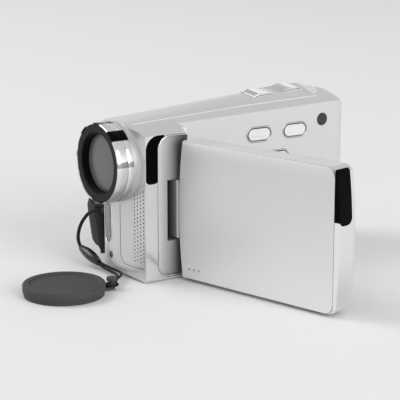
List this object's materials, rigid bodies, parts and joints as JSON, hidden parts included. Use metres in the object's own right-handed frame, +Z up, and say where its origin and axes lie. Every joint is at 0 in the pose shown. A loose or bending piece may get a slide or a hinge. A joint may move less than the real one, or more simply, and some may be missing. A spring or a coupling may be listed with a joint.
{
  "type": "camcorder",
  "caption": "Slim silver camcorder with a fold-out tilting screen, ringed lens, hand strap, and a lens cap on a cord.",
  "frame": {"origin": "mouth of the tripod socket in the base, under the lens axis", "axes": "+Z up; -Y the way the lens looks; +X the screen side"},
  "size_m": [0.1529, 0.1666, 0.0728],
  "materials": {
    "silver_shell": "satin silver lacquer over moulded plastic",
    "screen_plate": "fine satin aluminium",
    "screen_shell": "satin silver moulding",
    "bright_trim": "polished chrome",
    "steel_pin": "ground steel",
    "lens_ring_dark": "matte ribbed",
    "lens_glass": "coated glass",
    "clear_window": "ribbed clear window",
    "red_window": "dark red window",
    "key_silver": "satin plated key",
    "record_red": "gloss red",
    "black_rubber": "matte rubber",
    "strap_webbing": "woven webbing",
    "cord_black": "braided cord",
    "cap_plastic": "fine matte black",
    "board_green": "circuit board",
    "led_parts": "white board with lamps",
    "black_inner": "black inner part",
    "metal_inner": "plated steel",
    "battery_case": "wrapped battery",
    "screen_glass": "gloss black window",
    "lcd_stack": "display stack",
    "bush_brass": "turned brass"
  },
  "bodies": {
    "body": {"grip_shell": "silver_shell", "screen_side_shell": "silver_shell", "front_grille": "silver_shell", "hinge_trim": "bright_trim", "hinge_cover": "silver_shell", "hinge_pin": "steel_pin", "lens_front_ring": "bright_trim", "lens_rear_ring": "bright_trim", "lens_barrel": "silver_shell", "lens_bezel": "lens_ring_dark", "lens_glass": "lens_glass", "lens_cell": "lens_ring_dark", "lens_rear_element": "lens_glass", "image_sensor": "board_green", "led_window": "clear_window", "led_board": "led_parts", "ir_window": "red_window", "speaker": "black_inner", "microphone": "metal_inner", "main_board": "board_green", "side_board": "board_green", "rear_board": "board_green", "battery": "battery_case", "card_slot": "metal_inner", "usb_port": "metal_inner", "tripod_socket": "metal_inner", "bumper_pad": "black_rubber", "status_led": "record_red", "rocker_seat": "bright_trim", "rocker_pin": "steel_pin", "case_screws": "steel_pin", "strap_front_lug": "silver_shell", "strap_rear_lug": "silver_shell", "hand_strap": "strap_webbing", "tether_eyelet": "black_rubber", "tether_cord": "cord_black", "tether_bead": "cap_plastic", "tether_loop": "cord_black", "lens_cap": "cap_plastic", "cap_lug": "cap_plastic"},
    "hinge": {"hinge_block": "silver_shell", "swivel_pin": "steel_pin"},
    "screen": {"swivel_bush": "bush_brass", "screen_cover": "screen_plate", "screen_end_trim": "bright_trim", "screen_frame": "screen_shell", "screen_bezel": "screen_shell", "lcd_panel": "lcd_stack", "lcd_window": "screen_glass", "screen_board": "board_green"},
    "power_key": {"power_button": "key_silver"},
    "mode_key": {"mode_button": "key_silver"},
    "playback_key": {"playback_button": "key_silver"},
    "record_key": {"record_button": "record_red"},
    "nav_key": {"nav_pad": "key_silver"},
    "rocker": {"zoom_rocker": "bright_trim"},
    "door": {"battery_door": "silver_shell"},
    "port_flap": {"port_cover": "silver_shell"}
  },
  "joints": [
    {"name": "screen_hinge", "type": "hinge", "parent": "body", "child": "hinge", "pos_m": [0.0152, -0.0214, 0.03025], "axis": [0, 0, 1], "range_deg": [-12.8, 77.2]},
    {"name": "screen_swivel", "type": "hinge", "parent": "hinge", "child": "screen", "pos_m": [0.0152, -0.0214, 0.03025], "axis": [0.9751, 0.2215, 0], "range_deg": [-90, 180]},
    {"name": "power_press", "type": "slide", "parent": "body", "child": "power_key", "axis": [-1, 0, 0], "range_m": [0, 0.0005], "stiffness_N_per_m": 800},
    {"name": "mode_press", "type": "slide", "parent": "body", "child": "mode_key", "axis": [-1, 0, 0], "range_m": [0, 0.0005], "stiffness_N_per_m": 800},
    {"name": "playback_press", "type": "slide", "parent": "body", "child": "playback_key", "axis": [-1, 0, 0], "range_m": [0, 0.0005], "stiffness_N_per_m": 800},
    {"name": "record_press", "type": "slide", "parent": "body", "child": "record_key", "axis": [0, -1, 0], "range_m": [0, 0.0005], "stiffness_N_per_m": 800},
    {"name": "nav_press", "type": "slide", "parent": "body", "child": "nav_key", "axis": [0, -1, 0], "range_m": [0, 0.0005], "stiffness_N_per_m": 800},
    {"name": "zoom_rock", "type": "hinge", "parent": "body", "child": "rocker", "pos_m": [-0.00462, 0.04157, 0.06936], "axis": [0.9945, 0, -0.1045], "range_deg": [-2.5, 2.5], "stiffness_Nm_per_rad": 0.3},
    {"name": "battery_door_slide", "type": "slide", "parent": "body", "child": "door", "axis": [0, 1, 0], "range_m": [0, 0.01]},
    {"name": "port_cover_swing", "type": "hinge", "parent": "body", "child": "port_flap", "pos_m": [-0.0143, 0.07275, 0.0115], "axis": [0, 0, 1], "range_deg": [0, 100]}
  ]
}
